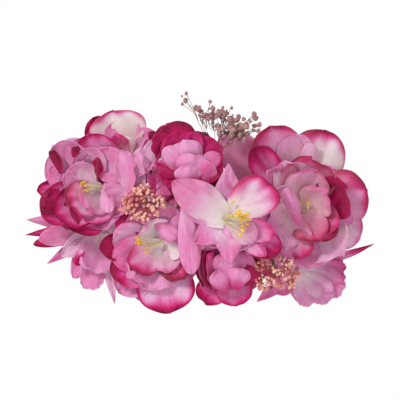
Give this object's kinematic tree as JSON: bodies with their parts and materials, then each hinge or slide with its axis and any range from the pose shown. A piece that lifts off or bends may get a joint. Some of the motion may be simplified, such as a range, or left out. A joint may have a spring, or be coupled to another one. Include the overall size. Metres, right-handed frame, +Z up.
{
  "type": "flower crown",
  "caption": "Flower crown: soft fabric peonies, magnolias and lilies with dried sprays, wired to a curved padded band that follows the head and is held by sprung hair clips.",
  "frame": {"origin": "middle of the felt lining's inner face, at the front of the crown, where it meets the head", "axes": "+X to the viewer's right across the front, +Y into the wearer's head, +Z up; the flowers open towards -Y"},
  "size_m": [0.2648, 0.1233, 0.1739],
  "materials": {
    "petal_pink": "printed polyester, matt",
    "petal_deep_pink": "printed polyester, matt",
    "petal_pale": "printed polyester, matt",
    "stamen": "waxed thread",
    "stem": "moulded, matt",
    "rice_flower": "dried buds",
    "gypsophila": "dried florets",
    "felt": "wool felt",
    "buckram": "stiffened open weave",
    "tape": "crepe floral tape",
    "steel": "nickel plated"
  },
  "bodies": {
    "crown": {"felt_lining": "felt", "buckram_strip": "buckram", "wire_rod": "steel", "rod_tape": "tape", "left_peony_stem": "stem", "left_peony_outer_petals": "petal_pink", "left_peony_middle_petals": "petal_deep_pink", "left_peony_inner_petals": "petal_pale", "left_peony_stamens": "stamen", "upper_left_magnolia_stem": "stem", "upper_left_magnolia_outer_petals": "petal_pale", "upper_left_magnolia_inner_petals": "petal_pink", "left_lily_stem": "stem", "left_lily_petals": "petal_pale", "top_peony_stem": "stem", "top_peony_outer_petals": "petal_deep_pink", "top_peony_middle_petals": "petal_pink", "top_peony_inner_petals": "petal_pink", "centre_lily_stem": "stem", "centre_lily_outer_petals": "petal_pink", "centre_lily_inner_petals": "petal_pale", "centre_lily_stamens": "stamen", "right_magnolia_stem": "stem", "right_magnolia_outer_petals": "petal_pale", "right_magnolia_middle_petals": "petal_pink", "right_magnolia_inner_petals": "petal_pale", "right_magnolia_stamens": "stamen", "lower_left_peony_stem": "stem", "lower_left_peony_outer_petals": "petal_pink", "lower_left_peony_middle_petals": "petal_pink", "lower_left_peony_inner_petals": "petal_pale", "lower_left_peony_stamens": "stamen", "lower_peony_stem": "stem", "lower_peony_outer_petals": "petal_pink", "lower_peony_middle_petals": "petal_deep_pink", "lower_peony_inner_petals": "petal_pink", "low_left_lily_stem": "stem", "low_left_lily_outer_petals": "petal_pale", "low_left_lily_inner_petals": "petal_pink", "low_right_lily_stem": "stem", "low_right_lily_outer_petals": "petal_pale", "low_right_lily_inner_petals": "petal_pale", "gypsophila_stem": "stem", "gypsophila_heads": "gypsophila", "left_rice_flower_stem": "stem", "left_rice_flower_heads": "rice_flower", "right_rice_flower_stem": "stem", "right_rice_flower_heads": "rice_flower", "left_clip_fixed_jaw": "steel", "left_clip_pin": "steel", "left_clip_spring": "steel", "right_clip_fixed_jaw": "steel", "right_clip_pin": "steel", "right_clip_spring": "steel"},
    "left_jaw": {"left_clip_moving_jaw": "steel"},
    "right_jaw": {"right_clip_moving_jaw": "steel"}
  },
  "joints": [
    {"name": "left_clip_hinge", "type": "hinge", "parent": "crown", "child": "left_jaw", "pos_m": [-0.03937, 0.01392, 0.018], "axis": [0.8718, -0.4898, 0], "range_deg": [0, 35], "stiffness_Nm_per_rad": 0.12, "springref_deg": -28.65, "deforming": ["left_clip_spring"]},
    {"name": "right_clip_hinge", "type": "hinge", "parent": "crown", "child": "right_jaw", "pos_m": [0.03937, 0.01392, 0.018], "axis": [0.8718, 0.4898, 0], "range_deg": [0, 35], "stiffness_Nm_per_rad": 0.12, "springref_deg": -28.65, "deforming": ["right_clip_spring"]}
  ]
}
